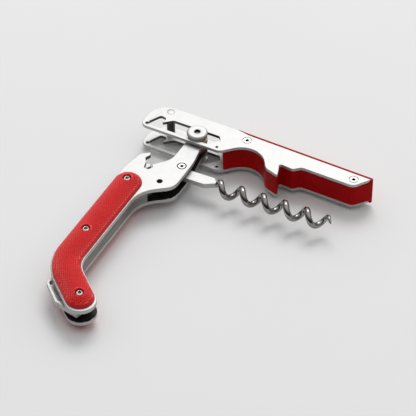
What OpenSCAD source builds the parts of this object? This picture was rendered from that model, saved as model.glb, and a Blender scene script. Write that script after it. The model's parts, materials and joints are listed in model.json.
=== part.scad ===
// Lever corkscrew lying on its side, half open.
// Origin: on the lever pivot's axis, in the plane that the tool rests on.
// +Z is up through the thickness, +X runs along the lever to its foot,
// and the handle runs along -Y. Millimetres.

/* [Lever] */
// Overall length of the lever
lever_len = 107; // [106:0.5:110]
// Thickness of each lever plate
lever_plate_t = 1.5; // [1.2:0.1:1.6]
// Width of the space between the two lever plates
lever_gap = 10.1; // [10:0.1:10.4]
// Height of the pivot window in each lever plate
window_w = 6.9; // [6.8:0.1:7.2]
// Radius of the finger recess in the lever's front edge
recess_r = 10; // [9.8:0.1:10.2]
// Width of the core's red lip along the back edge
lip_w = 1; // [0.6:0.1:1.2]

/* [Handle] */
// Thickness of each handle plate
handle_plate_t = 2; // [1.8:0.1:2.2]
// Width of the slot between the two handle plates
handle_gap = 4.6; // [4.4:0.1:4.8]
// Width of a grip
grip_w = 12.4; // [12:0.1:12.6]
// Height of a grip above its plate
grip_h = 4.15; // [4:0.05:4.3]
// Steel rim showing beside each grip
rim_w = 0.45; // [0.3:0.05:0.6]
// Angle that the handle's end turns through
bend_angle = 49; // [48:0.5:50]
// Radius of that turn, on the grip's middle line
bend_r = 17.4; // [16.5:0.1:18]

/* [Pivot] */
// Diameter of the pivot knob
knob_d = 9.3; // [8.8:0.1:9.6]
// Diameter of the pivot barrel
barrel_d = 4; // [3.8:0.1:4.2]
// Number of grip ribs round the knob
knob_ribs = 36; // [24:2:48]

/* [Worm] */
// Outer diameter of the worm
worm_d = 8.2; // [7.5:0.1:8.2]
// Diameter of the worm's wire
wire_d = 2.7; // [2.4:0.1:2.8]
// Advance of the worm in one turn
worm_pitch = 10.2; // [9.8:0.1:10.4]
// Thickness of the worm's mounting block
block_t = 2.5; // [2.2:0.1:2.6]

/* [Foil cutter] */
// Thickness of the foil cutter
cutter_t = 2.4; // [2.2:0.1:2.6]
// Half width of the slot in its thumb loop
loop_slot_r = 1.15; // [1:0.05:1.3]

/* [Hidden] */
$fn = 48;
eps = 0.01;
joint_lap = 0.02;       // overlap that joins the stretches of a grip
arc_step = 11.25;       // largest angle between two points of a rounded corner

// Levels through the thickness
run = 0.05;             // running gap beside a moving face, and round a pin
mid_z = handle_gap / 2 + handle_plate_t + grip_h;
handle_top = mid_z + handle_gap / 2 + handle_plate_t;
slot_top = mid_z + handle_gap / 2;
lever_top = mid_z + lever_gap / 2 + lever_plate_t;
cavity_top = mid_z + lever_gap / 2;

// Handle: middle line of the grip, and where its screws sit
grip_x = -13;
grip_top_y = -39.7;     // centre of the grip's round upper end
end_dir = [sin(bend_angle), -cos(bend_angle)];
end_side = [cos(bend_angle), sin(bend_angle)];
cutter_pivot = [3.6, -110.1];
bend_corner = cutter_pivot - end_dir * (cutter_pivot.x - grip_x) / end_dir.x;
bend_leg = bend_r * tan(bend_angle / 2);
bend_start = bend_corner + [0, bend_leg];
bend_centre = bend_start + [bend_r, 0];
bend_end = bend_corner + end_dir * bend_leg;
end_len = norm(cutter_pivot - bend_end);
grip_screws = [[grip_x, -40.3], [grip_x, -75.9], cutter_pivot];
screw_hole_r = 1.35;
screw_barrel_r = 1.3;
screw_head_r = 1.7;
screw_recess_r = 1.95;
screw_seat = 2.3;       // height of the screw's seat above the plate
screw_head_h = 1.3;
plate_side = grip_w / 2 + rim_w;
end_rim = 0.9;          // extra rim of steel at the handle's end

// Joints
rivet = [2.45, -19.2];
rivet_head_r = 2.1;
rivet_r = 1.5;
stop_pin = [-1.4, -32.3];
bore_r = barrel_d / 2 + run;
roller_r = window_w / 2 - 0.15;

// Lever
lever_left = -26;
lever_right = lever_left + lever_len;
lever_screws = [[21.2, 6.8], [73.4, 5.3]];
lever_screw_r = 2.1;
lever_barrel_r = 1.7;
post = [-17.6, 8.1];
post_r = 1.85;

// Worm, in its own frame: origin on the rivet, first axis along the worm
worm_tilt = 2.1;        // the worm stands this far off square to the handle
worm_axis_v = -1.75;    // the worm's axis passes this far beside the rivet
crest_u = 18.5;         // first crest of the coil, counted from the rivet
crest_angle = 43.5;     // where that crest is, round the axis
coil_r = (worm_d - wire_d) / 2;
lead_u = 12.5;          // the wire starts here, inside the block
wind_u = 16;            // starts to wind round the axis here
coil_u = 17.6;          // and runs as a true helix from here
tip_turn = 5.25;        // turns from the first crest to the point
steps_per_turn = 24;
wire_sides = 10;

// Foil cutter
blade_dir = [cos(129.7), sin(129.7)];
blade_side = [cos(39.7), sin(39.7)];
strip_w = 2.2;          // spacer left beside the blade, at the turn
blade_edge = bend_centre - blade_side * (bend_r - plate_side + strip_w + 0.4);
blade_sweep_r = 32.8;
loop_a = [-12.7, -104.7];
loop_b = [-5, -111.6];

steel = [0.86, 0.86, 0.85];
dark_steel = [0.35, 0.35, 0.36];
red = [0.78, 0.05, 0.07];
bronze = [0.72, 0.52, 0.28];

// ---------- Outlines ----------
function flat(p) = [p[0], p[1]];
function unit(v) = v / norm(v);
function turn_of(a, b) = let (t = b - a) t > 180 ? t - 360 : t < -180 ? t + 360 : t;

// One corner, rounded: before, at and after are [x, y, radius]
function corner(before, at, after) =
    let (
        p = flat(at),
        u = unit(flat(before) - p),
        w = unit(flat(after) - p),
        half = acos(u * w) / 2,
        r = at[2],
        centre = p + unit(u + w) * r / sin(half),
        s = p + u * r / tan(half) - centre,
        e = p + w * r / tan(half) - centre,
        a0 = atan2(s.y, s.x),
        turn = turn_of(a0, atan2(e.y, e.x)),
        n = max(1, ceil(abs(turn) / arc_step))
    )
    [for (i = [0:n]) centre + r * [cos(a0 + turn * i / n), sin(a0 + turn * i / n)]];

// A closed outline from a list of [x, y, radius] corners
function rounded(pts) =
    let (n = len(pts))
    [for (i = [0:n - 1]) each corner(pts[(i + n - 1) % n], pts[i], pts[(i + 1) % n])];

// A corner of a line that runs beside the grip's middle line, at the turn
function beside_bend(off) = bend_corner + off * [1, tan(bend_angle / 2)];

module handle_outline() {
    end = cutter_pivot + end_dir * (end_rim + plate_side);
    end_r = plate_side - 0.05;
    polygon(rounded([
        [4.4, 4.4, 4.1],
        [4.5, -5.5, 20],
        [6.1, -15.5, 22],
        [6.05, -32.75, 7],
        [grip_x + plate_side, -42.05, 14],
        [each beside_bend(plate_side), bend_r - plate_side],
        [each (end + end_side * plate_side), end_r],
        [each (end - end_side * plate_side), end_r],
        [each beside_bend(-plate_side), bend_r + plate_side],
        [grip_x - plate_side, -31, 20],
        [-17.6, -20.4, 4],
        [-13.9, -17.5, 0.45],
        [-12.95, -19.1, 0.8],
        [-14.2, -21.6, 0.9],
        [-12.55, -24, 0.9],
        [-11.7, -27.5, 0.9],
        [-9.5, -27.7, 0.9],
        [-8.5, -25.8, 0.7],
        [-9.6, -24.3, 0.5],
        [-3.5, -17.5, 9],
        [-3.4, -5.5, 20],
        [-4.4, 4.4, 4.1]
    ]));
}

// Front edge of the lever, from the heel to the chamfer at its foot
function front_edge() = [
    [13.6, -5.4, 4.5],
    [21.46, recess_top(), recess_r],
    [31.2, recess_top(), recess_r],
    [36.2, -5.6, 4.5],
    [43.1, -7.75, 0.5],
    [41.8, -3.6, 4],
    [40.4, -0.5, 0.9],
    [47.3, -1.05, 1.6],
    [50.1, 1.75, 3],
    [74.9, 1.35, 4]
];
function recess_top() = 2.5;

module lever_plate_outline() {
    polygon(rounded(concat(
        [[lever_left, -5.4, 3.3]],
        front_edge(),
        [[lever_right - 0.8, 8.6, 0.25],
        [20.5, 11.1 - lip_w, 12],
        [15, 11.2, 12],
        [lever_left, 11.2, 9.5]]
    )));
}

module core_outline() {
    polygon(rounded(concat(
        [[15, -4, 0.6]],
        [for (i = [1:len(front_edge()) - 1]) front_edge()[i]],
        [[lever_right, 8.6, 0.5],
        [lever_right, 9.6, 0.8],
        [15, 11.2, 5],
        [7.2, 11.2, 0.5],
        [8.6, 8.6, 4],
        [11.9, 4.4, 4],
        [12.1, 0.6, 6]]
    )));
}

module window_outline() {
    half = window_w / 2;
    polygon(rounded([
        [-23.1, -half, 1.3],
        [-22.9, -1.3, 1],
        [-20.2, 3.9, 1.4],
        [-17, 3.3, 1.1],
        [-17.9, -0.6, 0.4],
        [-13.6, half, 2.2],
        [9.2, half, 1.2],
        [10.8, 1.2, 0.6],
        [6.7, -half, 1.8]
    ]));
}

// Everything on the blade's side of its inner edge, moved over by off
module blade_half_plane(off) {
    translate(blade_edge + blade_side * off)
        rotate(129.7) translate([-60, 0]) square([120, 60]);
}

module spacer_outline() {
    difference() {
        intersection() {
            handle_outline();
            polygon([
                [-30, -19.5], [-15.4, -19.5], [-15.4, -29.6], [-9, -29.6],
                [-8.2, -36.6], [-3.7, -40.2], [20, -40.2],
                each [cutter_pivot - end_dir * 6.4 + end_side * 20],
                each [cutter_pivot - end_dir * 6.4 - end_side * 40],
                [-40, -90]
            ]);
        }
        intersection() {
            translate(cutter_pivot) circle(r = blade_sweep_r, $fn = 96);
            blade_half_plane(0.4);
        }
        for (p = grip_screws) translate(p) circle(r = screw_hole_r);
    }
}

// Half width at a height, for one side of a grip's cross-section
function grip_side() = [
    [grip_w / 2, 0], [grip_w / 2, 0.22 * grip_h], [grip_w / 2 - 0.45, 0.5 * grip_h],
    [grip_w / 2 - 1.35, 0.74 * grip_h], [grip_w / 2 - 2.7, 0.9 * grip_h],
    [grip_w / 2 - 4.3, 0.985 * grip_h], [0, grip_h]
];

module half_section() {
    polygon(concat([[0, 0]], grip_side()));
}

module grip_section() {
    side = grip_side();
    n = len(side);
    polygon(concat(side, [for (i = [n - 2:-1:0]) [-side[i][0], side[i][1]]]));
}

// ---------- Shared solids ----------
module at_each(places) {
    for (p = places) translate([p.x, p.y, 0]) children();
}

module tube(outer, inner, z0, z1) {
    translate([0, 0, z0]) difference() {
        cylinder(r = outer, h = z1 - z0);
        translate([0, 0, -1]) cylinder(r = inner, h = z1 - z0 + 2);
    }
}

// Mirrors a part of the upper side to the lower side
module to_lower_side() {
    translate([0, 0, 2 * mid_z]) mirror([0, 0, 1]) children();
}

module handle_plate() {
    color(steel) translate([0, 0, slot_top]) difference() {
        linear_extrude(handle_plate_t) handle_outline();
        translate([0, 0, -1]) {
            cylinder(r = bore_r, h = handle_plate_t + 2);
            translate(rivet) cylinder(r = rivet_head_r, h = handle_plate_t + 2);
            translate(stop_pin) cylinder(r = 1.2, h = handle_plate_t + 2);
            at_each(grip_screws) cylinder(r = screw_hole_r, h = handle_plate_t + 2);
        }
    }
}

module grip() {
    color(red) translate([0, 0, handle_top]) difference() {
        union() {
            translate([grip_x, grip_top_y, 0]) rotate_extrude(angle = 180) half_section();
            translate([grip_x, grip_top_y + joint_lap, 0]) rotate([90, 0, 0])
                linear_extrude(grip_top_y - bend_start.y + 2 * joint_lap) grip_section();
            translate([bend_centre.x, bend_centre.y, 0]) rotate([0, 0, 180])
                rotate_extrude(angle = bend_angle, $fn = 96)
                translate([bend_r, 0]) grip_section();
            translate([bend_end.x, bend_end.y, 0]) rotate([0, 0, bend_angle])
                translate([0, joint_lap, 0]) rotate([90, 0, 0])
                linear_extrude(end_len + 2 * joint_lap) grip_section();
            translate([cutter_pivot.x, cutter_pivot.y, 0]) rotate([0, 0, 180 + bend_angle])
                rotate_extrude(angle = 180) half_section();
        }
        at_each(grip_screws) {
            translate([0, 0, -1]) cylinder(r = screw_hole_r, h = grip_h + 2);
            translate([0, 0, screw_seat]) cylinder(r = screw_recess_r, h = grip_h);
        }
    }
}

// Button-head screw with a hexagon socket; its head's underside is at z = 0
module socket_screw(head_r, head_h, shank_r, shank_l, socket_af) {
    difference() {
        union() {
            rotate_extrude() polygon([
                [0, 0], [head_r, 0], [head_r, 0.6 * head_h],
                [head_r - 0.4 * head_h, head_h], [0, head_h]
            ]);
            translate([0, 0, -shank_l]) cylinder(r = shank_r, h = shank_l + eps);
        }
        translate([0, 0, head_h - 0.7]) cylinder(d = socket_af / cos(30), h = 1, $fn = 6);
    }
}

module grip_screw_set() {
    color(steel) at_each(grip_screws) translate([0, 0, handle_top + screw_seat])
        socket_screw(screw_head_r, screw_head_h, 0.8, 3, 1.5);
}

module lever_plate() {
    color(steel) translate([0, 0, cavity_top]) difference() {
        linear_extrude(lever_plate_t) difference() {
            lever_plate_outline();
            window_outline();
        }
        translate([0, 0, -1]) {
            translate([-23.4, -3.3 + 0.1, 0]) cylinder(r = 0.75, h = lever_plate_t + 2);
            translate([11.4, -3.35, 0]) cylinder(r = 0.55, h = lever_plate_t + 2);
            at_each(lever_screws) cylinder(r = lever_screw_r, h = lever_plate_t + 2);
            translate(post) cylinder(r = post_r - 0.1, h = lever_plate_t + 2);
        }
    }
}

module lever_screw_set() {
    color(steel) at_each(lever_screws) difference() {
        union() {
            translate([0, 0, cavity_top]) cylinder(r = lever_screw_r, h = lever_plate_t);
            translate([0, 0, cavity_top - 3]) cylinder(r = 0.9, h = 3 + eps);
        }
        translate([0, 0, lever_top - 1]) cylinder(d = 1.9 / cos(30), h = 2, $fn = 6);
    }
}

// ---------- Handle ----------
module handle_plate_top() handle_plate();
module handle_plate_bottom() to_lower_side() handle_plate();

module handle_spacer() {
    color([0.6, 0.6, 0.6]) translate([0, 0, slot_top - handle_gap])
        linear_extrude(handle_gap) spacer_outline();
}

module grip_top() grip();
module grip_bottom() to_lower_side() grip();
module grip_screws_top() grip_screw_set();
module grip_screws_bottom() to_lower_side() grip_screw_set();

module grip_barrels() {
    color(steel) at_each(grip_screws)
        tube(screw_barrel_r, 0.8, 2 * mid_z - handle_top - screw_seat, handle_top + screw_seat);
}

module worm_rivet() {
    color(steel) translate([rivet.x, rivet.y, mid_z]) difference() {
        union() {
            for (side = [0, 1]) mirror([0, 0, side]) translate([0, 0, handle_gap / 2])
                cylinder(r = rivet_head_r, h = handle_plate_t);
            translate([0, 0, -handle_gap / 2 - eps])
                cylinder(r = rivet_r, h = handle_gap + 2 * eps);
        }
        for (side = [0, 1]) mirror([0, 0, side])
            translate([0, 0, handle_gap / 2 + handle_plate_t - 1]) cylinder(r = 0.65, h = 2);
    }
}

module worm_stop_pin() {
    color(dark_steel) translate([stop_pin.x, stop_pin.y, mid_z]) {
        for (side = [0, 1]) mirror([0, 0, side]) translate([0, 0, handle_gap / 2])
            cylinder(r = 1.2, h = handle_plate_t - 1.5);
        translate([0, 0, -handle_gap / 2 - eps]) cylinder(r = 0.7, h = handle_gap + 2 * eps);
    }
}

module arm_bush() {
    color(bronze) tube(3.4, bore_r, slot_top - handle_gap, slot_top);
}

// ---------- Pivot ----------
module pivot_knob() {
    r = knob_d / 2;
    h = 2 * mid_z - lever_top - run;
    bevel = 0.5;
    color(steel) translate([0, 0, lever_top + run]) difference() {
        union() {
            linear_extrude(h - bevel) polygon([
                for (i = [0:2 * knob_ribs - 1])
                    let (a = 180 * i / knob_ribs, rr = i % 2 == 0 ? r : r - 0.22)
                    rr * [cos(a), sin(a)]
            ]);
            translate([0, 0, h - bevel - eps])
                cylinder(r1 = r - 0.3, r2 = r - 0.3 - bevel, h = bevel + eps);
            translate([0, 0, -7]) cylinder(r = 1.2, h = 7 + eps);
        }
        translate([0, 0, h - 1.1]) cylinder(d = 2.5 / cos(30), h = 2, $fn = 6);
    }
}

module pivot_barrel() {
    r = knob_d / 2;
    h = 2 * mid_z - lever_top - run;
    color(steel) difference() {
        union() {
            rotate_extrude() polygon([[0, 0], [r - 0.5, 0], [r, 0.5], [r, h], [0, h]]);
            translate([0, 0, h - eps]) cylinder(d = barrel_d, h = 2 * (mid_z - h) + eps);
        }
        translate([0, 0, 2 * mid_z - h - 8]) cylinder(r = 1.25, h = 9);
    }
}

module pivot_washers() {
    color(bronze) {
        tube(3.7, bore_r, handle_top + 0.03, cavity_top - run);
        to_lower_side() tube(3.7, bore_r, handle_top + 0.03, cavity_top - run);
    }
}

module track_rollers() {
    color(bronze) {
        tube(roller_r, bore_r, cavity_top + 0.02, lever_top - 0.02);
        to_lower_side() tube(roller_r, bore_r, cavity_top + 0.02, lever_top - 0.02);
    }
}

// ---------- Lever ----------
module lever_plate_top() lever_plate();
module lever_plate_bottom() to_lower_side() lever_plate();

module lever_core() {
    color(red) difference() {
        translate([0, 0, 2 * mid_z - lever_top])
            linear_extrude(2 * (lever_top - mid_z)) core_outline();
        for (side = [0, 1]) translate([0, 0, mid_z]) mirror([0, 0, side])
            translate([0, 0, lever_gap / 2]) linear_extrude(lever_plate_t + 1) union() {
                lever_plate_outline();
                // room for the plate past the flush front edge
                polygon([[0, -20], [lever_right - 0.75, -20], [lever_right - 0.75, 8], [0, 8]]);
            }
        at_each(lever_screws) cylinder(r = lever_barrel_r, h = 2 * mid_z);
    }
}

module lever_screws_top() lever_screw_set();
module lever_screws_bottom() to_lower_side() lever_screw_set();

module lever_barrels() {
    color(steel) at_each(lever_screws)
        tube(lever_barrel_r, 0.95, cavity_top - lever_gap, cavity_top);
}

module lever_post() {
    color(dark_steel) translate([post.x, post.y, 0])
        tube(post_r, 1, cavity_top - lever_gap, cavity_top);
}

module lever_post_rivet() {
    color(steel) translate([post.x, post.y, mid_z]) {
        for (side = [0, 1]) mirror([0, 0, side]) translate([0, 0, lever_gap / 2])
            cylinder(r = post_r - 0.1, h = lever_plate_t);
        translate([0, 0, -lever_gap / 2 - eps]) cylinder(r = 0.95, h = lever_gap + 2 * eps);
    }
}

// ---------- Worm ----------
module in_worm_frame() {
    translate([rivet.x, rivet.y, mid_z]) rotate([0, 0, worm_tilt]) children();
}

module worm_block() {
    color(steel) in_worm_frame() translate([0, 0, -block_t / 2]) difference() {
        linear_extrude(block_t) polygon(rounded([
            [-2.8, 2.1, 2.3],
            [14.9, 2.1, 0.3],
            [16.5, 0.4, 0.3],
            [16.7, -0.9, 0.3],
            [12.3, -3.45, 0.6],
            [-2.8, -3.4, 2.6]
        ]));
        translate([0, 0, -1]) cylinder(r = rivet_r + run, h = block_t + 2);
    }
}

// Angle round the axis where the wire stands at u: level, then winding up to the helix
helix_rate = 360 / worm_pitch;
tip_u = crest_u + tip_turn * worm_pitch;
function wire_angle(u) =
    let (short = coil_u - max(u, wind_u))
    crest_angle + helix_rate * (u >= coil_u ? u - crest_u
        : coil_u - crest_u - short * (1 - short / (coil_u - wind_u) / 2));
function blend(t) = t <= 0 ? 0 : t >= 1 ? 1 : t * t * (3 - 2 * t);
function wire_radius(u) =
    coil_r * (0.5 + 0.5 * blend((u - lead_u) / (coil_u + 2 - lead_u)))
    * (1 - 0.25 * blend((u - tip_u + worm_pitch / 3) / (worm_pitch / 3)));
function wire_half(u) =
    wire_d / 2 * min(1, 0.08 + 0.92 * sqrt(max(0, (tip_u - u) / (worm_pitch * 0.62))));
function wire_at(u) = [u, worm_axis_v + wire_radius(u) * cos(wire_angle(u)),
    wire_radius(u) * sin(wire_angle(u))];
function wire_ring(u) =
    let (
        d = 0.05,
        t = unit(wire_at(u + d) - wire_at(u - d)),
        out = unit([0, cos(wire_angle(u)), sin(wire_angle(u))]),
        n1 = unit(out - t * (out * t)),
        n2 = cross(t, n1)
    )
    [for (k = [0:wire_sides - 1])
        wire_at(u) + wire_half(u) * (n1 * cos(360 * k / wire_sides) + n2 * sin(360 * k / wire_sides))];

module worm_screw() {
    n = ceil((tip_u - lead_u) / worm_pitch * steps_per_turn);
    points = [for (i = [0:n]) each wire_ring(lead_u + (tip_u - lead_u) * i / n)];
    sides = [for (i = [0:n - 1], k = [0:wire_sides - 1])
        let (a = i * wire_sides + k, b = i * wire_sides + (k + 1) % wire_sides)
        each [[a, b, b + wire_sides], [a, b + wire_sides, a + wire_sides]]];
    first = [for (k = [wire_sides - 1:-1:0]) k];
    last = [for (k = [0:wire_sides - 1]) n * wire_sides + k];
    color(steel) in_worm_frame() polyhedron(points, concat([first], sides, [last]), convexity = 10);
}

module worm_washers() {
    color(bronze) translate([rivet.x, rivet.y, 0]) {
        tube(2.6, rivet_r, mid_z + block_t / 2 + run, slot_top);
        to_lower_side() tube(2.6, rivet_r, mid_z + block_t / 2 + run, slot_top);
    }
}

// ---------- Foil cutter ----------
module cutter_outline() {
    difference() {
        union() {
            translate(cutter_pivot) circle(r = 3.5);
            // blade: straight inner edge, cutting edge curving to the point
            polygon(rounded([
                [each (blade_edge - blade_dir * 13.5), 0.8],
                [each (blade_edge + blade_dir * 16.5), 0.3],
                [each (blade_edge + blade_dir * 11 - blade_side * 4.6), 9],
                [each (blade_edge - blade_dir * 8 - blade_side * 6.2), 6],
                [each (cutter_pivot - blade_side * 4.6 - blade_dir * 1.5), 1]
            ]));
            // tail with the square end
            polygon(rounded([
                [-4.6, -114.2, 0.6],
                [5.3, -116.1, 0.15],
                [6.9, -111.5, 1],
                [3.6, -107, 1.5],
                [-3.5, -108.2, 0.8]
            ]));
            // thumb loop
            hull() {
                translate(loop_a) circle(r = loop_slot_r + 1.25, $fn = 32);
                translate(loop_b) circle(r = loop_slot_r + 1.25, $fn = 32);
            }
        }
        hull() {
            translate(loop_a) circle(r = loop_slot_r, $fn = 32);
            translate(loop_b) circle(r = loop_slot_r, $fn = 32);
        }
    }
}

module cutter() {
    color(steel) translate([0, 0, mid_z - cutter_t / 2]) difference() {
        linear_extrude(cutter_t) cutter_outline();
        translate([cutter_pivot.x, cutter_pivot.y, -1])
            cylinder(r = screw_barrel_r + run, h = cutter_t + 2);
    }
}

module cutter_washers() {
    color(bronze) translate([cutter_pivot.x, cutter_pivot.y, 0]) {
        tube(2.8, screw_hole_r, mid_z + cutter_t / 2 + run, slot_top);
        to_lower_side() tube(2.8, screw_hole_r, mid_z + cutter_t / 2 + run, slot_top);
    }
}

handle_plate_top();
handle_plate_bottom();
handle_spacer();
grip_top();
grip_bottom();
grip_screws_top();
grip_screws_bottom();
grip_barrels();
worm_rivet();
worm_stop_pin();
arm_bush();
pivot_knob();
pivot_barrel();
pivot_washers();
track_rollers();
lever_plate_top();
lever_plate_bottom();
lever_core();
lever_screws_top();
lever_screws_bottom();
lever_barrels();
lever_post();
lever_post_rivet();
worm_block();
worm_screw();
worm_washers();
cutter();
cutter_washers();
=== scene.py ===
"""Looks of the lever corkscrew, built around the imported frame. Metres, in the frame's own axes."""
import json
import math

import bmesh
import bpy
from mathutils import Matrix, Vector
from mathutils.geometry import delaunay_2d_cdt


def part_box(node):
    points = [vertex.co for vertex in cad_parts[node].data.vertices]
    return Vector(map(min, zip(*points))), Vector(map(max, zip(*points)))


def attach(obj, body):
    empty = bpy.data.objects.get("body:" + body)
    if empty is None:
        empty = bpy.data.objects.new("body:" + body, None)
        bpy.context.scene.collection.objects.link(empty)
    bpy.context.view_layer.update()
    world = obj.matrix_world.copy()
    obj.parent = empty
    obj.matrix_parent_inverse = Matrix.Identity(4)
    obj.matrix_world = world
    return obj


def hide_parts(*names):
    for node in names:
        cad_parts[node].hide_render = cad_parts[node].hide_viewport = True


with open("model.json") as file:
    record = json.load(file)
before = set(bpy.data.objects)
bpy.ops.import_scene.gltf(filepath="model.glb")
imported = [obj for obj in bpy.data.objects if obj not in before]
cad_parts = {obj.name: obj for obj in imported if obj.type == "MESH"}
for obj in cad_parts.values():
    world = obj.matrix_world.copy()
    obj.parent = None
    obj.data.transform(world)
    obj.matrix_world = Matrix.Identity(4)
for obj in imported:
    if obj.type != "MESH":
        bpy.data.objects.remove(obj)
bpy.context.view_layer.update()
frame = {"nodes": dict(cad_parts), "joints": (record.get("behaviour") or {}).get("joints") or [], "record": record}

MM = 0.001
BEND = math.radians(49)     # of the handle's end
WELD = 2e-6
FINER_SHARE = 0.3           # of the usual bevel, round a fitted rivet or screw
INNER_SHADE_BORDER = (-10 * MM, 4 * MM)     # range of x over which the painted shade on the handle's inner faces ends
BODY_OF = {n: b for b, ns in frame["record"]["behaviour"]["bodies"].items() for n in ns}
JOINTS = {j["name"]: j for j in frame["joints"]}


# ---------------------------------------------------------------- materials
class Shader:
    """A Principled material built from nodes, with object coordinates to hand."""

    def __init__(self, name, **sockets):
        self.material = bpy.data.materials.new(name)
        self.material.use_nodes = True
        self.nodes = self.material.node_tree.nodes
        self.links = self.material.node_tree.links
        self.bsdf = self.nodes["Principled BSDF"]
        for key, value in sockets.items():
            self.bsdf.inputs[key.replace("_", " ")].default_value = value
        self.coords = self.nodes.new("ShaderNodeTexCoord").outputs["Object"]

    def link(self, a, b):
        self.links.new(a, b)

    def mapped(self, scale):
        node = self.nodes.new("ShaderNodeMapping")
        node.inputs["Scale"].default_value = scale
        self.link(self.coords, node.inputs["Vector"])
        return node.outputs["Vector"]

    def noise(self, scale, detail, rough=0.5, vector=None):
        node = self.nodes.new("ShaderNodeTexNoise")
        node.inputs["Scale"].default_value = scale
        node.inputs["Detail"].default_value = detail
        node.inputs["Roughness"].default_value = rough
        self.link(vector or self.coords, node.inputs["Vector"])
        return node.outputs["Fac"]

    def ramp(self, value, dark, pale, high=0.7):
        """Colour from dark to pale as the value rises from 0.3."""
        node = self.nodes.new("ShaderNodeValToRGB")
        for element, position, colour in zip(node.color_ramp.elements, (0.3, high), (dark, pale)):
            element.position = position
            element.color = (*colour, 1)
        self.link(value, node.inputs["Fac"])
        return node.outputs["Color"]

    def base(self, colour):
        self.link(colour, self.bsdf.inputs["Base Color"])

    def roughness(self, value, smooth, rough):
        self.link(self.spread(value, 0.3, 0.7, smooth, rough), self.bsdf.inputs["Roughness"])

    def spread(self, value, low, high, out_low, out_high):
        node = self.nodes.new("ShaderNodeMapRange")
        for key, number in (("From Min", low), ("From Max", high),
                            ("To Min", out_low), ("To Max", out_high)):
            node.inputs[key].default_value = number
        self.link(value, node.inputs["Value"])
        return node.outputs["Result"]

    def inner_shade_mask(self):
        """Mask of painted shade: rises from 0 to 1 along x past the pivots in the handle's head, with an uneven
        border.
        """
        split = self.nodes.new("ShaderNodeSeparateXYZ")
        self.link(self.coords, split.inputs["Vector"])
        rise = self.spread(split.outputs["X"], *INNER_SHADE_BORDER, 0, 1)
        add = self.nodes.new("ShaderNodeMath")
        add.operation = "ADD"
        self.link(rise, add.inputs[0])
        self.link(self.spread(self.noise(260, 4), 0.3, 0.7, -0.06, 0.06), add.inputs[1])
        return add.outputs["Value"]

    def attribute(self, name):
        node = self.nodes.new("ShaderNodeAttribute")
        node.attribute_name = name
        return node.outputs["Fac"]

    def with_painted_shade(self, colour, mask, low, high, by):
        """Base colour with painted shade: turned darker by that share where the mask goes from low to high."""
        node = self.nodes.new("ShaderNodeMix")
        node.data_type = "RGBA"
        node.blend_type = "MULTIPLY"
        self.link(self.spread(mask, low, high, 0, by), node.inputs["Factor"])
        for socket in node.inputs:
            if socket.type == "RGBA" and socket.name == "A":
                self.link(colour, socket)
            elif socket.type == "RGBA" and socket.name == "B":
                socket.default_value = (0, 0, 0, 1)
        for socket in node.outputs:
            if socket.type == "RGBA":
                self.base(socket)

    def bump(self, height, distance, strength):
        node = self.nodes.new("ShaderNodeBump")
        node.inputs["Strength"].default_value = strength
        node.inputs["Distance"].default_value = distance
        self.link(height, node.inputs["Height"])
        self.link(node.outputs["Normal"], self.bsdf.inputs["Normal"])


def blasted(name):
    """Shader of bead-blasted stainless steel, pale and even with a very fine grain, and its colour."""
    s = Shader(name, Metallic=1.0)
    colour = s.ramp(s.noise(300, 5), (0.505, 0.503, 0.495), (0.52, 0.518, 0.51))
    s.roughness(s.noise(420, 5), 0.54, 0.56)
    s.bump(s.noise(9000, 2), 4e-6, 0.5)
    return s, colour


def satin_steel():
    """Outside of the plates, and the knob, block and cutter."""
    s, colour = blasted("satin_steel")
    s.base(colour)
    return s.material


def inner_steel():
    """Inner face of a handle plate: blasted like the outside, but dark with painted shade round the pivots, where
    the gap between the plates lies in shade.
    """
    s, colour = blasted("inner_steel")
    # painted shade: darkens the inner face by up to 92% towards the handle's head
    s.with_painted_shade(colour, s.inner_shade_mask(), 0.25, 0.45, 0.92)
    return s.material


def cut_and_shaded_steel():
    """Wall of a window or hole in a plate: dull as the cutter left it, and dark partly from the cut and partly
    with painted shade, as inside a hole.
    """
    s = Shader("cut_and_shaded_steel", Metallic=1.0)
    grain = s.noise(1, 4, 0.6, s.mapped((3000, 3000, 260)))
    # dark base: part cut finish, part painted shade of the walls inside holes
    s.base(s.ramp(grain, (0.12, 0.118, 0.112), (0.22, 0.217, 0.208)))
    s.roughness(grain, 0.45, 0.6)
    s.bump(grain, 8e-6, 0.6)
    return s.material


def spacer_steel():
    """Steel spacer, ground along its edge, so fine lines run the length of it."""
    s = Shader("spacer_steel", Metallic=1.0)
    grain = s.noise(1, 4, 0.6, s.mapped((90, 90, 2200)))
    s.base(s.ramp(grain, (0.13, 0.124, 0.11), (0.32, 0.31, 0.285)))
    s.roughness(grain, 0.38, 0.5)
    s.bump(grain, 8e-6, 0.6)
    return s.material


def screw_steel():
    """Turned steel of the screws and rivets, with rings too fine to see singly."""
    s = Shader("screw_steel", Metallic=1.0)
    s.base(s.ramp(s.noise(600, 4), (0.60, 0.598, 0.588), (0.66, 0.657, 0.648)))
    s.roughness(s.noise(1500, 3), 0.42, 0.5)
    s.bump(s.noise(6000, 2), 3e-6, 0.4)
    return s.material


def polished_and_lit_screw():
    """Grip screws: turned and polished, and paler than the other screws as painted light, so their rims stand out
    bright in the shade of their recesses.
    """
    s = Shader("polished_and_lit_screw", Metallic=1.0)
    # painted light: a paler base than screw_steel, against the shade of the recesses
    s.base(s.ramp(s.noise(600, 4), (0.84, 0.835, 0.82), (0.92, 0.915, 0.90)))
    s.roughness(s.noise(1500, 3), 0.3, 0.4)
    s.bump(s.noise(6000, 2), 3e-6, 0.4)
    return s.material


def polished_steel():
    """Polished wire of the worm, with faint drawing lines and a little tarnish."""
    s = Shader("polished_steel", Metallic=1.0)
    s.base(s.ramp(s.noise(350, 5), (0.20, 0.192, 0.18), (0.38, 0.37, 0.355), high=0.72))
    s.roughness(s.noise(900, 4), 0.08, 0.2)
    s.bump(s.noise(700, 3), 2e-5, 0.25)
    return s.material


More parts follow.
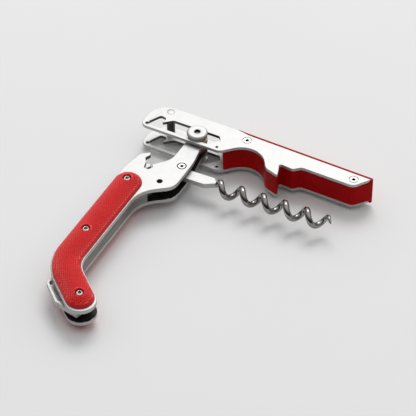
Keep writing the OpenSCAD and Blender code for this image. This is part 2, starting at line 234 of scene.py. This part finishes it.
def dark_steel():
    """Dark steel of the post and the stop pin, also given to sockets and grooves as painted shade."""
    s = Shader("dark_steel", Metallic=1.0)
    s.base(s.ramp(s.noise(500, 4), (0.09, 0.085, 0.08), (0.15, 0.145, 0.135)))
    s.roughness(s.noise(900, 3), 0.35, 0.5)
    s.bump(s.noise(3000, 2), 5e-6, 0.5)
    return s.material


def bearing_bronze():
    """Bronze of the bush, the washers and the rollers, faintly worn."""
    s = Shader("bearing_bronze", Metallic=1.0)
    s.base(s.ramp(s.noise(400, 4), (0.52, 0.34, 0.16), (0.66, 0.46, 0.24)))
    s.roughness(s.noise(900, 3), 0.3, 0.45)
    s.bump(s.noise(5000, 2), 3e-6, 0.4)
    return s.material


def red_grip():
    """Moulded red of the grips with a soft sheen, paler on the knurl's points and darkened with painted shade in
    its grooves and on the smooth faces.
    """
    s = Shader("grip_red", Specular_IOR_Level=0.45)
    red = s.ramp(s.noise(140, 5), (0.80, 0.014, 0.014), (0.88, 0.018, 0.018))
    # painted shade: up to 42% darker where the groove attribute is high
    s.with_painted_shade(red, s.attribute("groove"), 0.5, 1.0, 0.42)
    s.roughness(s.noise(1200, 4), 0.34, 0.46)
    s.bump(s.noise(5000, 3), 6e-6, 0.5)
    return s.material


def red_core():
    """Smooth satin red of the lever's core."""
    s = Shader("core_red", Specular_IOR_Level=0.04)
    s.base(s.ramp(s.noise(120, 4), (0.37, 0.001, 0.002), (0.43, 0.0015, 0.003)))
    s.roughness(s.noise(900, 4), 0.26, 0.36)
    s.bump(s.noise(4000, 3), 4e-6, 0.4)
    return s.material


def floor_grey():
    """Pale, nearly even paint of the studio floor."""
    s = Shader("floor_grey", Specular_IOR_Level=0.2, Roughness=0.75)
    s.base(s.ramp(s.noise(6, 3), (0.78, 0.78, 0.78), (0.8, 0.8, 0.8)))
    return s.material


MATERIALS = {make.__name__: make() for make in (
    satin_steel, spacer_steel, screw_steel, polished_steel, dark_steel, bearing_bronze, red_grip,
    red_core, inner_steel, cut_and_shaded_steel, polished_and_lit_screw)}
SLOT_OF = {s["node"]: s["material_slot"] for s in frame["record"]["subparts"]}


# ---------------------------------------------------------------- pieces
def dress(obj, slot):
    obj.data.materials.clear()
    obj.data.materials.append(MATERIALS[slot])


def stand_in(obj, node):
    """obj is shown instead of a CAD node, in that node's finish, on that node's body."""
    dress(obj, SLOT_OF[node])
    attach(obj, BODY_OF[node])
    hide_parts(node)
    return obj


def shade(obj, slot, test):
    """Gives the faces that pass the test one more material."""
    obj.data.materials.append(MATERIALS[slot])
    for polygon in obj.data.polygons:
        if test(polygon):
            polygon.material_index = len(obj.data.materials) - 1


def new_object(name, bm, smooth_angle=35.0):
    bmesh.ops.recalc_face_normals(bm, faces=bm.faces)
    mesh = bpy.data.meshes.new(name)
    bm.to_mesh(mesh)
    bm.free()
    for polygon in mesh.polygons:
        polygon.use_smooth = True
    mesh.set_sharp_from_angle(angle=math.radians(smooth_angle))
    obj = bpy.data.objects.new(name, mesh)
    bpy.context.scene.collection.objects.link(obj)
    return obj


def welded(node):
    """A copy of a CAD node's mesh as a bmesh, its points welded and its flat faces whole."""
    bm = bmesh.new()
    bm.from_mesh(frame["nodes"][node].data)
    bmesh.ops.remove_doubles(bm, verts=bm.verts, dist=WELD)
    bmesh.ops.dissolve_limit(bm, angle_limit=math.radians(0.6), verts=bm.verts, edges=bm.edges)
    return bm


def centres(node):
    """Centres, seen from above, of the separate solids in a CAD node."""
    bm = welded(node)
    left = set(bm.verts)
    found = []
    while left:
        island, front = set(), [next(iter(left))]
        while front:
            vert = front.pop()
            if vert in island:
                continue
            island.add(vert)
            front += [e.other_vert(vert) for e in vert.link_edges]
        left -= island
        xs, ys = [v.co.x for v in island], [v.co.y for v in island]
        found.append(Vector(((min(xs) + max(xs)) / 2, (min(ys) + max(ys)) / 2)))
    bm.free()
    return sorted(found, key=lambda c: (round(c.x, 5), c.y))


def ease_edges(obj, width):
    """Rounds an object's edges that carry a bevel weight."""
    bevel = obj.modifiers.new("ease", "BEVEL")
    bevel.width = width
    bevel.segments = 3
    bevel.limit_method = "WEIGHT"
    bevel.use_clamp_overlap = False
    bevel.harden_normals = True


def eased(node, width, finer=()):
    """A CAD node with its sharp edges eased. Near the points in finer, each with a reach,
    the bevel is narrower, as round a fitted rivet."""
    bm = welded(node)
    weight = bm.edges.layers.float.new("bevel_weight_edge")
    for edge in bm.edges:
        if edge.is_manifold and edge.calc_face_angle() > math.radians(40):
            middle = (edge.verts[0].co + edge.verts[1].co) / 2
            near = any((middle.xy - place).length < reach for place, reach in finer)
            edge[weight] = FINER_SHARE if near else 1.0
    obj = new_object(node + "_eased", bm)
    ease_edges(obj, width)
    return stand_in(obj, node)


def inner_faces(level):
    """Test for flat faces that look at the part's middle from that height off it."""
    def test(polygon):
        off = polygon.center.z - MID_Z
        return abs(abs(off) - level) < 0.02 * MM and polygon.normal.z * off < -0.9 * level
    return test


def ease(t):
    t = min(1.0, max(0.0, t))
    return t * t * (3 - 2 * t)


def turn(bm, place, rings, count=48):
    """Adds a closed turned solid. Rings are (height, radius); a radius may be a function of the angle."""
    loops = []
    for height, radius in rings:
        loop = []
        for i in range(count):
            angle = 2 * math.pi * i / count
            r = radius(angle) if callable(radius) else radius
            spoke = Vector((math.cos(angle), math.sin(angle)))
            loop.append(bm.verts.new((*(place + spoke * r), height)))
        loops.append(loop)
    for low, high in zip(loops, loops[1:]):
        for i in range(count):
            k = (i + 1) % count
            bm.faces.new((low[i], low[k], high[k], high[i]))
    bm.faces.new(loops[0])
    bm.faces.new(loops[-1])


def hexagon(across_flats):
    """Radius of a hexagon with that width across its flats, as a function of the angle."""
    sixth = math.pi / 3
    return lambda angle: across_flats / 2 / math.cos(angle % sixth - sixth / 2)


def flipped(rings):
    """The same rings for the part's lower side."""
    return [(2 * MID_Z - z, r) for z, r in rings]


def nearest(point, places):
    """Distance from a point to the nearest of some places."""
    return min((point - place).length for place in places)


def deep(level):
    """Test for the faces of sockets and grooves: nearer the part's middle than that height."""
    return lambda polygon: abs(polygon.center.z - MID_Z) < level - MID_Z


def sockets(places, level):
    """Test for the faces of the sockets only, in screws at those places."""
    return lambda polygon: deep(level)(polygon) and nearest(polygon.center.xy, places) < 0.9 * MM


def upright(polygon):
    return abs(polygon.normal.z) < 0.3


def within(ranges, polygon):
    return all(low < c < high for c, (low, high) in zip(polygon.center / MM, ranges))


def window_wall(polygon):
    """Test for the upright walls of the lever plate's window and holes."""
    return upright(polygon) and within(WINDOW, polygon)


def notch_wall(polygon):
    """Test for the walls of the crown-cap notch and of the hole over the stop pin."""
    over_pin = nearest(polygon.center.xy, [STOP_PIN]) < 1.6 * MM
    return upright(polygon) and (over_pin or within(NOTCH, polygon))


for node, slot in SLOT_OF.items():
    dress(frame["nodes"][node], slot)

# ---------------------------------------------------------------- levels and places, from the frame
plate_low, plate_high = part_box("lever_plate_top")
LEVER_TOP = plate_high.z
CAVITY_TOP = plate_low.z
handle_low, handle_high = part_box("handle_plate_top")
HANDLE_TOP = handle_high.z
HANDLE_PLATE_T = handle_high.z - handle_low.z
MID_Z = (LEVER_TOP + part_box("lever_plate_bottom")[0].z) / 2
RIVET = Vector(JOINTS["worm_fold"]["pos_m"]).xy
CUTTER_PIVOT = Vector(JOINTS["cutter_open"]["pos_m"]).xy
AXIS = Vector((0, 0))       # of the knob and barrel
post_low, post_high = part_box("lever_post")
POST = ((post_low + post_high) / 2).xy
LEVER_SCREWS = centres("lever_screws_top")
GRIP_SCREWS = centres("grip_screws_top")
STOP_PIN = centres("worm_stop_pin")[0]
HEAD_H = 1.3 * MM           # of a grip screw
GRIP_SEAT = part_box("grip_screws_top")[1].z - HEAD_H
# Ranges of x and y, in millimetres, round a lever plate's window and holes, and round the crown-cap notch
WINDOW = ((-24.4, 12.2), (-4.9, 4.9))
NOTCH = ((-14.3, -8.4), (-27.8, -17.4))

# ---------------------------------------------------------------- plates and small steel parts
fitted = [(POST, 2.2 * MM)] + [(place, 2.4 * MM) for place in LEVER_SCREWS]
for node in ("handle_plate_top", "handle_plate_bottom"):
    plate = eased(node, 0.3 * MM, finer=[(RIVET, 2.4 * MM)])
    # inner faces take inner_steel, with its painted shade near the head
    shade(plate, "inner_steel", inner_faces(HANDLE_TOP - MID_Z - HANDLE_PLATE_T))
    # painted shade: walls of the notch and of the hole over the stop pin
    shade(plate, "cut_and_shaded_steel", notch_wall)
for node in ("lever_plate_top", "lever_plate_bottom"):
    # painted shade: walls of the window and holes
    shade(eased(node, 0.24 * MM, finer=fitted), "cut_and_shaded_steel", window_wall)
eased("lever_core", 0.12 * MM)
eased("handle_spacer", 0.08 * MM)
eased("worm_block", 0.15 * MM)


# ---------------------------------------------------------------- foil cutter
BLADE_TURN = math.radians(39.7)         # of the blade's length from +Y
EDGE_FROM, EDGE_TO = 11 * MM, 30 * MM   # of the ground edge, along the blade from its pivot
LOOP_AT = -5.6 * MM                     # to the side, where the thumb loop begins
GRIND = 0.95 * MM                       # width of the ground face before its inner line moves
GRIND_SHIFT = 0.6 * MM
GRIND_FADE = 4 * MM                     # length over which the shift grows and fades


def ground_cutter():
    """The foil cutter with its curved edge ground from both faces, and its other edges eased."""
    bm = welded("cutter")
    zs = [v.co.z for v in bm.verts]
    low, high = min(zs), max(zs)
    along = Vector((-math.sin(BLADE_TURN), math.cos(BLADE_TURN)))
    side = Vector((math.cos(BLADE_TURN), math.sin(BLADE_TURN)))

    def place(vert):
        """Along the blade from its pivot, and to the side of it."""
        off = vert.co.xy - CUTTER_PIVOT
        return off.dot(along), off.dot(side)

    rim = [e for e in bm.edges if e.is_manifold and e.calc_face_angle() > math.radians(40)
           and abs(e.verts[0].co.z - e.verts[1].co.z) < WELD]
    edge = []
    for e in rim:
        wall = min(e.link_faces, key=lambda f: abs(f.normal.z))
        on_blade = all(t > EDGE_FROM and u > LOOP_AT for t, u in map(place, e.verts))
        if on_blade and wall.normal.xy.dot(side) < -0.15:
            edge.append(e)
    made = bmesh.ops.bevel(bm, geom=edge, offset=GRIND, segments=1, affect="EDGES", clamp_overlap=False)
    for vert in {v for f in made["faces"] for v in f.verts}:
        if vert.co.z > high - WELD or vert.co.z < low + WELD:
            t = place(vert)[0]
            share = ease((t - EDGE_FROM) / GRIND_FADE) * ease((EDGE_TO - t) / GRIND_FADE)
            vert.co.xy += side * GRIND_SHIFT * share
    weight = bm.edges.layers.float.new("bevel_weight_edge")
    ground = {e for f in made["faces"] for e in f.edges}
    for e in bm.edges:
        if e not in ground and e.is_manifold and e.calc_face_angle() > math.radians(60):
            e[weight] = 1.0
    obj = new_object("cutter_ground", bm, 20)
    ease_edges(obj, 0.22 * MM)
    stand_in(obj, "cutter")


ground_cutter()


# ---------------------------------------------------------------- knob, screws and rivets
def knob():
    """Knurled pivot knob with a chamfered rim and a hexagon socket."""
    low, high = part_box("pivot_knob")
    r = high.x
    base, top = LEVER_TOP + 0.05 * MM, high.z
    ribs = 36
    rib_depth = 0.2 * MM

    def ribbed(share, inset=0.0):
        return lambda a: r - inset - rib_depth * share * (0.5 - 0.5 * math.cos(ribs * a))

    socket = 2.5 * MM
    bm = bmesh.new()
    turn(bm, AXIS, [
        (low.z, 1.2 * MM), (base, 1.2 * MM), (base, r - 0.5 * MM), (base + 0.06 * MM, r - 0.32 * MM),
        (base + 0.22 * MM, ribbed(0.9)), (base + 0.35 * MM, ribbed(1)), (top - 0.62 * MM, ribbed(1)),
        (top - 0.5 * MM, ribbed(1, inset=0.06 * MM)), (top - 0.42 * MM, r - 0.26 * MM),
        (top - 0.08 * MM, r - 0.6 * MM), (top - 0.02 * MM, r - 0.72 * MM), (top, r - 0.9 * MM),
        (top, 1.75 * MM), (top - 0.03 * MM, 1.62 * MM), (top - 0.16 * MM, hexagon(socket + 0.1 * MM)),
        (top - 0.22 * MM, hexagon(socket)), (top - 1.1 * MM, hexagon(socket)),
    ], count=ribs * 8)
    turned = stand_in(new_object("pivot_knob_turned", bm, 50), "pivot_knob")
    # painted shade: the socket's faces take dark steel
    shade(turned, "dark_steel",
          lambda polygon: polygon.center.xy.length < 1.5 * MM and polygon.center.z < top - 0.2 * MM)


def button_head(seat):
    """Rings of a button-head screw whose head sits on seat."""
    socket = 1.5 * MM
    return [(seat + z * MM, r * MM) for z, r in (
        (-3, 0.8), (0, 0.8), (0, 1.62), (0.08, 1.7), (0.5, 1.7), (0.72, 1.64), (0.95, 1.48),
        (1.14, 1.25), (1.25, 1.05), (1.3, 0.98))] + [
        (seat + 1.24 * MM, hexagon(socket + 0.08 * MM)), (seat + 1.16 * MM, hexagon(socket)),
        (seat + 0.6 * MM, hexagon(socket))]


def grip_screws():
    rings = button_head(GRIP_SEAT)
    for side, node in ((rings, "grip_screws_top"), (flipped(rings), "grip_screws_bottom")):
        bm = bmesh.new()
        for place in GRIP_SCREWS:
            turn(bm, place, side)
        turned = stand_in(new_object(node + "_turned", bm), node)
        # painted light: the grip screws take the paler, polished copy of the screw steel
        turned.data.materials[0] = MATERIALS["polished_and_lit_screw"]
        # painted shade: the sockets' faces take dark steel
        shade(turned, "dark_steel", sockets(GRIP_SCREWS, GRIP_SEAT + 1.2 * MM))


def flush_head():
    """Rings of a lever screw: its head lies flush in the plate, inside a fine groove."""
    top, socket = LEVER_TOP, 1.3 * MM
    return [(CAVITY_TOP - 3 * MM, 0.9 * MM), (CAVITY_TOP, 0.9 * MM), (CAVITY_TOP, 2.1 * MM),
            (top - 0.5 * MM, 2.1 * MM), (top - 0.48 * MM, 1.8 * MM), (top - 0.07 * MM, 1.8 * MM),
            (top, 1.72 * MM), (top, 0.85 * MM), (top - 0.1 * MM, hexagon(socket + 0.06 * MM)),
            (top - 0.16 * MM, hexagon(socket)), (top - 1.0 * MM, hexagon(socket))]


def lever_screws():
    rings = flush_head()
    for side, node in ((rings, "lever_screws_top"), (flipped(rings), "lever_screws_bottom")):
        bm = bmesh.new()
        for place in LEVER_SCREWS:
            turn(bm, place, side)
        # painted shade: the sockets' faces take dark steel
        shade(stand_in(new_object(node + "_turned", bm), node), "dark_steel",
              sockets(LEVER_SCREWS, LEVER_TOP - 0.12 * MM))


def worm_rivet():
    """Pivot of the worm: a rivet with a deep groove round each flush head and a small socket."""
    top, head, socket = HANDLE_TOP, 2.1 * MM, 1.3 * MM
    seat = top - HANDLE_PLATE_T
    upper = [(MID_Z, 1.5 * MM), (seat, 1.5 * MM), (seat, head), (top - 1.0 * MM, head),
             (top - 0.98 * MM, head - 0.45 * MM), (top - 0.1 * MM, head - 0.45 * MM),
             (top, head - 0.55 * MM), (top, 0.85 * MM), (top - 0.08 * MM, hexagon(socket + 0.05 * MM)),
             (top - 0.14 * MM, hexagon(socket)), (top - 1 * MM, hexagon(socket))]
    bm = bmesh.new()
    turn(bm, RIVET, flipped(upper)[:0:-1] + upper[1:])
    rivet = stand_in(new_object("worm_rivet_turned", bm), "worm_rivet")
    # painted shade: the faces of the grooves and the socket take dark steel
    shade(rivet, "dark_steel", deep(HANDLE_TOP - 0.12 * MM))


def post_rivet():
    """Rivet of the post: its heads are peened almost invisibly into the plates."""
    top, head = LEVER_TOP, 1.75 * MM
    upper = [(MID_Z, 0.95 * MM), (CAVITY_TOP, 0.95 * MM), (CAVITY_TOP, head), (top - 0.2 * MM, head),
             (top - 0.19 * MM, head - 0.1 * MM), (top - 0.03 * MM, head - 0.1 * MM),
             (top, head - 0.15 * MM), (top, 0.3 * MM)]
    bm = bmesh.new()
    turn(bm, POST, flipped(upper)[:0:-1] + upper[1:])
    rivet = stand_in(new_object("lever_post_rivet_turned", bm), "lever_post_rivet")
    rivet.data.materials[0] = MATERIALS["satin_steel"]


knob()
grip_screws()
lever_screws()
worm_rivet()
post_rivet()


# ---------------------------------------------------------------- worm
def worm():
    """Round wire swept along a right-hand helix, in millimetres along u from the rivet."""
    outer_d, wire_d, pitch, turns = 8.2, 2.7, 10.2, 5.25
    tilt = math.radians(2.1)
    beside = -1.75                      # of the coil's axis from the rivet
    lead_u, wind_u, coil_u, crest_u = 12.5, 16.0, 17.6, 18.5
    crest_angle = math.radians(43.5)
    tip_u = crest_u + turns * pitch
    taper = 0.62 * pitch                # length of the tapered point
    rate = 2 * math.pi / pitch
    sides, step = 24, pitch / 72

    def angle(u):
        short = coil_u - max(u, wind_u)
        if u >= coil_u:
            return crest_angle + rate * (u - crest_u)
        return crest_angle + rate * (coil_u - crest_u - short * (1 - short / (coil_u - wind_u) / 2))

    def radius(u):
        grown = 0.5 + 0.5 * ease((u - lead_u) / (coil_u + 2 - lead_u))
        return (outer_d - wire_d) / 2 * grown * (1 - 0.25 * ease((u - tip_u + pitch / 3) / (pitch / 3)))

    def half(u):
        return wire_d / 2 * min(1, 0.08 + 0.92 * math.sqrt(max(0, (tip_u - u) / taper)))

    def centre(u):
        return Vector((u, beside + radius(u) * math.cos(angle(u)), radius(u) * math.sin(angle(u))))

    stand = Matrix.Translation((RIVET.x, RIVET.y, MID_Z))
    place = stand @ Matrix.Rotation(tilt, 4, "Z") @ Matrix.Scale(MM, 4)
    bm = bmesh.new()
    count = math.ceil((tip_u - lead_u) / step)
    loops = []
    for i in range(count + 1):
        u = lead_u + (tip_u - lead_u) * i / count
        along = (centre(u + 0.05) - centre(u - 0.05)).normalized()
        out = Vector((0, math.cos(angle(u)), math.sin(angle(u))))
        across = (out - along * out.dot(along)).normalized()
        other = along.cross(across)
        spokes = [across * math.cos(a) + other * math.sin(a)
                  for a in (2 * math.pi * k / sides for k in range(sides))]
        loops.append([bm.verts.new(place @ (centre(u) + half(u) * spoke)) for spoke in spokes])
    for a, b in zip(loops, loops[1:]):
        for k in range(sides):
            m = (k + 1) % sides
            bm.faces.new((a[k], a[m], b[m], b[k]))
    bm.faces.new(loops[0])
    bm.faces.new(loops[-1])
    stand_in(new_object("worm_wire", bm), "worm_screw")


worm()


# ---------------------------------------------------------------- grips
BEND_R = 17.4 * MM          # of the middle line
STATION = 0.5 * MM          # step along the middle line
END_STEPS = 24              # round each end
DOME_POWER = 1.75
KNURL_PITCH = 0.87 * MM
KNURL_HALF_ANGLE = math.radians(27.6)
KNURL_DEPTH = 0.34 * MM
KNURL_FADE = 1.1 * MM       # width along the rim over which the knurl grows deep
BAND = 0.35 * MM            # smooth band outside the knurl
BAND_RINGS = 9
RECESS_R = 1.95 * MM        # round each screw
RECESS_FADE = 0.6 * MM
RECESS_SIDES = 40
RIM_CLEAR = 0.3 * MM        # least distance of the knurl's points from the rim
RECESS_CLEAR = 0.2 * MM     # and from a recess
# Shares of painted groove shade: 0 on a peak and 1 in a crossing; smooth faces and the band get fixed shares
SMOOTH_SHADE_SHARE = 0.8
BAND_SHADE_SHARE = 0.9


class GripForm:
    """A grip's smooth form: a dome swept along a bent middle line, with round ends."""

    def __init__(self):
        self.low, self.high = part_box("grip_top")
        self.height = self.high.z - self.low.z
        self.half = CUTTER_PIVOT.y - self.low.y
        self.inner = self.half - BAND
        self.line = list(self.middle_line())

    def middle_line(self):
        """Points a short step apart, each with the direction to its side."""
        x, top = self.low.x + self.half, self.high.y - self.half
        end_dir = Vector((math.sin(BEND), -math.cos(BEND)))
        corner = CUTTER_PIVOT - end_dir * ((CUTTER_PIVOT.x - x) / end_dir.x)
        leg = BEND_R * math.tan(BEND / 2)
        bend_start = Vector((x, corner.y + leg))
        middle = bend_start + Vector((BEND_R, 0))
        bend_end = corner + end_dir * leg
        n = math.ceil((top - bend_start.y) / STATION)
        for i in range(n):
            yield Vector((x, top - (top - bend_start.y) * i / n)), Vector((1, 0))
        n = math.ceil(BEND_R * BEND / STATION)
        for i in range(n):
            a = BEND * i / n
            side = Vector((math.cos(a), math.sin(a)))
            yield middle - side * BEND_R, side
        n = math.ceil((CUTTER_PIVOT - bend_end).length / STATION)
        side = Vector((math.cos(BEND), math.sin(BEND)))
        for i in range(n + 1):
            yield bend_end.lerp(CUTTER_PIVOT, i / n), side

    def outline(self, off):
        """Closed outline at that distance from the middle line."""
        def round_end(place, side):
            along = Vector((side.y, -side.x))
            return [place + (side * math.cos(a) + along * math.sin(a)) * off
                    for a in (math.pi * i / END_STEPS for i in range(1, END_STEPS))]

        (start, start_side), (end, end_side) = self.line[0], self.line[-1]
        return ([p + side * off for p, side in self.line] + round_end(end, end_side)
                + [p - side * off for p, side in reversed(self.line)] + round_end(start, -start_side))

    def offset(self, point):
        """Distance from the middle line."""
        return min((point - p).length for p, _ in self.line)

    def dome(self, off):
        """Height over the grip's flat face at that distance from the middle line."""
        return self.height * max(0.0, 1 - (off / self.half) ** DOME_POWER) ** (1 / DOME_POWER)


class Net:
    """Points of a grip's domed face seen from above, each with its height and share of painted groove shade."""

    def __init__(self):
        self.points, self.heights, self.grooves, self.edges = [], [], [], []

    def add(self, point, height, groove):
        self.points.append(point)
        self.heights.append(height)
        self.grooves.append(groove)
        return len(self.points) - 1

    def join_ring(self, ring):
        self.edges += list(zip(ring, ring[1:] + ring[:1]))


def add_recess_rim(net, form, screw):
    """Adds the circle round a screw's recess and returns its points."""
    ring = []
    for k in range(RECESS_SIDES):
        a = 2 * math.pi * k / RECESS_SIDES
        point = screw + Vector((math.cos(a), math.sin(a))) * RECESS_R
        ring.append(net.add(point, form.dome(form.offset(point)), SMOOTH_SHADE_SHARE))
    net.join_ring(ring)
    return ring


def add_knurl(net, form):
    """Adds the crossings of two families of grooves, joined along them, and a peak in each cell."""
    side_len = KNURL_PITCH / math.sin(2 * KNURL_HALF_ANGLE)
    one = Vector((math.sin(KNURL_HALF_ANGLE), math.cos(KNURL_HALF_ANGLE))) * side_len
    two = Vector((-one.x, one.y))
    origin = form.line[0][0]
    reach = int((form.high.y - form.low.y) / one.y / 2) + 12
    crossings = {}
    for i in range(-2 * reach, reach):
        for j in range(-2 * reach, reach):
            for shift, depth in ((0.0, KNURL_DEPTH), (0.5, 0.0)):
                point = origin + one * (i + shift) + two * (j + shift)
                if not (form.low.x < point.x < form.high.x and form.low.y < point.y < form.high.y):
                    continue
                off, from_screw = form.offset(point), nearest(point, GRIP_SCREWS)
                if off > form.inner - RIM_CLEAR or from_screw < RECESS_R + RECESS_CLEAR:
                    continue
                fade = ease((form.inner - off) / KNURL_FADE) * ease((from_screw - RECESS_R) / RECESS_FADE)
                groove = SMOOTH_SHADE_SHARE + ((1 if depth else 0) - SMOOTH_SHADE_SHARE) * fade
                index = net.add(point, form.dome(off) - depth * fade, groove)
                if depth:
                    crossings[i, j] = index
    for (i, j), here in crossings.items():
        for near in ((i + 1, j), (i, j + 1)):
            if near in crossings:
                net.edges.append((here, crossings[near]))


def grip(node, lower):
    """A grip with its knurl, the recesses of its screws and a smooth band down to its flat face."""
    form, net = GripForm(), Net()
    rim = [net.add(point, form.dome(form.inner), BAND_SHADE_SHARE) for point in form.outline(form.inner)]
    net.join_ring(rim)
    recesses = [add_recess_rim(net, form, screw) for screw in GRIP_SCREWS]
    add_knurl(net, form)

    bm = bmesh.new()
    # the groove attribute carries the share of painted shade to the grip's material
    groove = bm.verts.layers.float.new("groove")

    def add_vert(point, z, share):
        vert = bm.verts.new((point.x, point.y, z))
        vert[groove] = share
        return vert

    def add_wall(ring, next_ring):
        for k in range(len(ring)):
            m = (k + 1) % len(ring)
            bm.faces.new((ring[k], ring[m], next_ring[m], next_ring[k]))

    flat = [point / MM for point in net.points]
    points, _, faces, sources, *_ = delaunay_2d_cdt(flat, net.edges, [], 0, 1e-4, True)
    made, place_of = [], {}
    for point, source in zip(points, sources):
        height = net.heights[source[0]] if source else form.dome(form.offset(point * MM))
        made.append(add_vert(point * MM, form.low.z + height, net.grooves[source[0]] if source else 1.0))
        if source:
            place_of[source[0]] = made[-1]
    for face in faces:
        centre = sum((points[k] for k in face), Vector((0, 0))) / len(face) * MM
        outside_recess = nearest(centre, GRIP_SCREWS) > RECESS_R * math.cos(math.pi / RECESS_SIDES)
        if form.offset(centre) < form.inner and outside_recess:
            bm.faces.new([made[k] for k in face])
    for vert in [v for v in bm.verts if not v.link_faces]:
        bm.verts.remove(vert)

    for recess in recesses:
        upper = [place_of[i] for i in recess]
        seat = [add_vert(v.co, GRIP_SEAT, SMOOTH_SHADE_SHARE) for v in upper]
        add_wall(upper, seat)
        bm.faces.new(seat)
    previous = [place_of[i] for i in rim]
    start = math.asin((form.dome(form.inner) / form.height) ** (DOME_POWER / 2))
    for ring in range(BAND_RINGS - 1, -1, -1):
        t = start * ring / BAND_RINGS
        off = form.half * math.cos(t) ** (2 / DOME_POWER)
        z = form.low.z + form.height * math.sin(t) ** (2 / DOME_POWER)
        current = [add_vert(point, z, BAND_SHADE_SHARE) for point in form.outline(off)]
        add_wall(previous, current)
        previous = current
    bm.faces.new(previous)
    if lower:
        for vert in bm.verts:
            vert.co.z = 2 * MID_Z - vert.co.z
    stand_in(new_object(node + "_knurled", bm, 25), node)


grip("grip_top", lower=False)
grip("grip_bottom", lower=True)


# ---------------------------------------------------------------- stage, light, camera
def add_floor():
    bpy.ops.mesh.primitive_plane_add(size=4)
    floor = bpy.context.object
    floor.name = "floor"
    floor.data.materials.append(floor_grey())


def area_light(name, place, target, size, power):
    data = bpy.data.lights.new(name, "AREA")
    data.shape = "RECTANGLE"
    data.size, data.size_y = size
    data.energy = power
    light = bpy.data.objects.new(name, data)
    light.location = place
    light.rotation_mode = "QUATERNION"
    light.rotation_quaternion = (Vector(target) - Vector(place)).to_track_quat("-Z", "Y")
    bpy.context.scene.collection.objects.link(light)


def direction(azimuth, elevation):
    """From the object towards a place at that azimuth, as the camera's is counted."""
    a, e = math.radians(azimuth), math.radians(elevation)
    return Vector((math.sin(a) * math.cos(e), -math.cos(a) * math.cos(e), math.sin(e)))


CAMERA_AZIMUTH = 27.6
CAMERA_ELEVATION = 43.0
CAMERA_DISTANCE = 1.0
SENSOR = 36.0               # of the camera and its lens, in the camera's own millimetres
LENS = 199.04
KEY_DISTANCE = 2.0
aim = Vector((18.7, -25.6, 0)) * MM

camera = bpy.data.objects.new("camera", bpy.data.cameras.new("camera"))
camera.data.sensor_width = SENSOR
camera.data.lens = LENS
camera.data.clip_start = 0.05
camera.location = aim + direction(CAMERA_AZIMUTH, CAMERA_ELEVATION) * CAMERA_DISTANCE
camera.rotation_mode = "QUATERNION"
camera.rotation_quaternion = (-direction(CAMERA_AZIMUTH, CAMERA_ELEVATION)).to_track_quat("-Z", "Y")
bpy.context.scene.collection.objects.link(camera)
bpy.context.scene.camera = camera

add_floor()
area_light("key", aim + direction(CAMERA_AZIMUTH + 170, 54) * KEY_DISTANCE, target=aim,
           size=(1.1, 0.9), power=17.0)


def studio(towards, dark, bright, low, high):
    """A soft dome, bright towards one side and dark on the other."""
    world = bpy.data.worlds.new("studio")
    world.use_nodes = True
    nodes, links = world.node_tree.nodes, world.node_tree.links
    coords = nodes.new("ShaderNodeTexCoord")
    dot = nodes.new("ShaderNodeVectorMath")
    dot.operation = "DOT_PRODUCT"
    dot.inputs[1].default_value = towards
    links.new(coords.outputs["Generated"], dot.inputs[0])
    fall = nodes.new("ShaderNodeMapRange")
    fall.interpolation_type = "SMOOTHSTEP"
    for key, number in (("From Min", low), ("From Max", high), ("To Min", dark), ("To Max", bright)):
        fall.inputs[key].default_value = number
    links.new(dot.outputs["Value"], fall.inputs["Value"])
    links.new(fall.outputs["Result"], nodes["Background"].inputs["Strength"])
    nodes["Background"].inputs["Color"].default_value = (1, 1, 1, 1)
    bpy.context.scene.world = world


studio(direction(CAMERA_AZIMUTH + 165, 62), dark=0.03, bright=0.92, low=-0.05, high=0.85)
bpy.context.scene.view_settings.view_transform = "Standard"
